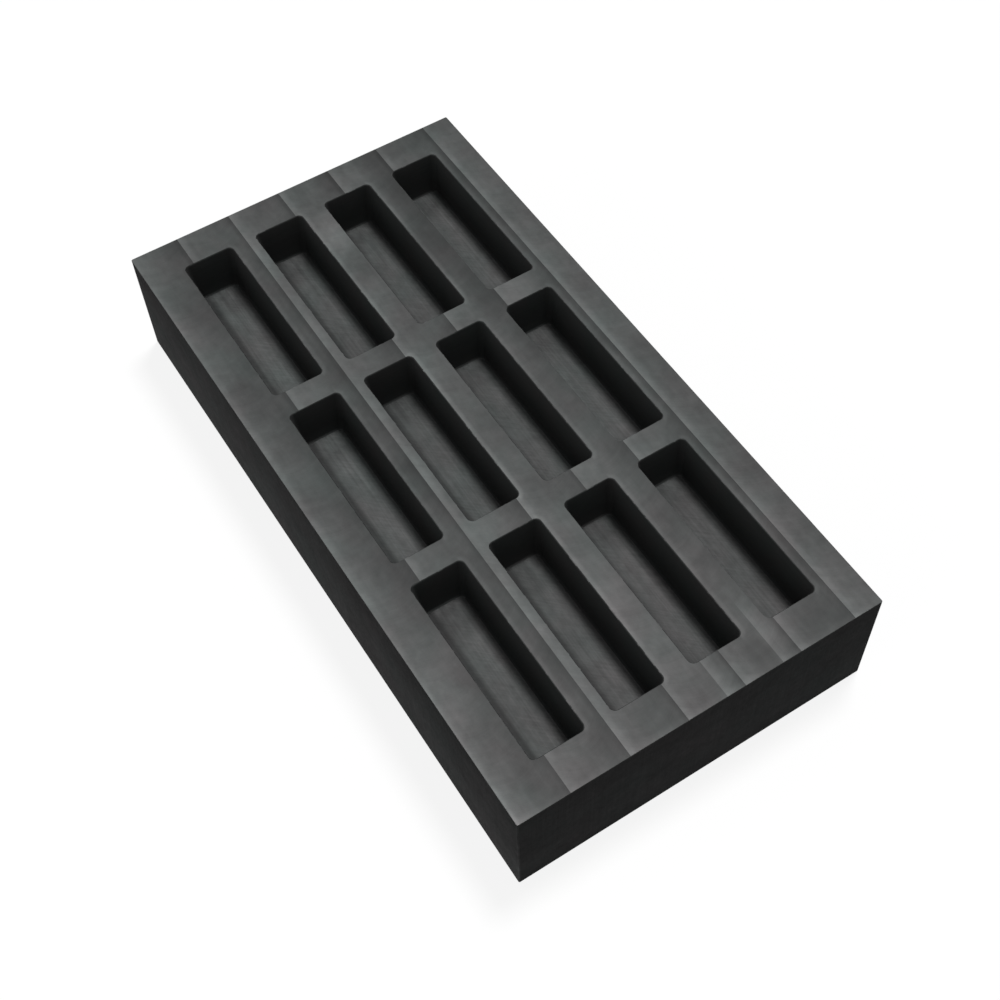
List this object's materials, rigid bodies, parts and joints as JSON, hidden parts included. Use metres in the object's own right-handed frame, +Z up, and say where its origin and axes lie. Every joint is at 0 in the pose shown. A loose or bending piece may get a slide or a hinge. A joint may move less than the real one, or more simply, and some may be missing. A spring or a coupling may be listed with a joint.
{
  "type": "graphite ingot mould",
  "caption": "Rectangular graphite casting mould: one thick flat block with a grid of open, draft-walled, round-cornered pockets that cast small metal bars.",
  "frame": {"origin": "middle of the block's flat underside", "axes": "+Z up, out of the pocket mouths; +Y along the block's long side and along the pockets; +X across the pocket columns"},
  "size_m": [0.14, 0.27, 0.048],
  "materials": {
    "graphite": "satin"
  },
  "bodies": {
    "root": {"mould_block": "graphite"}
  },
  "joints": []
}
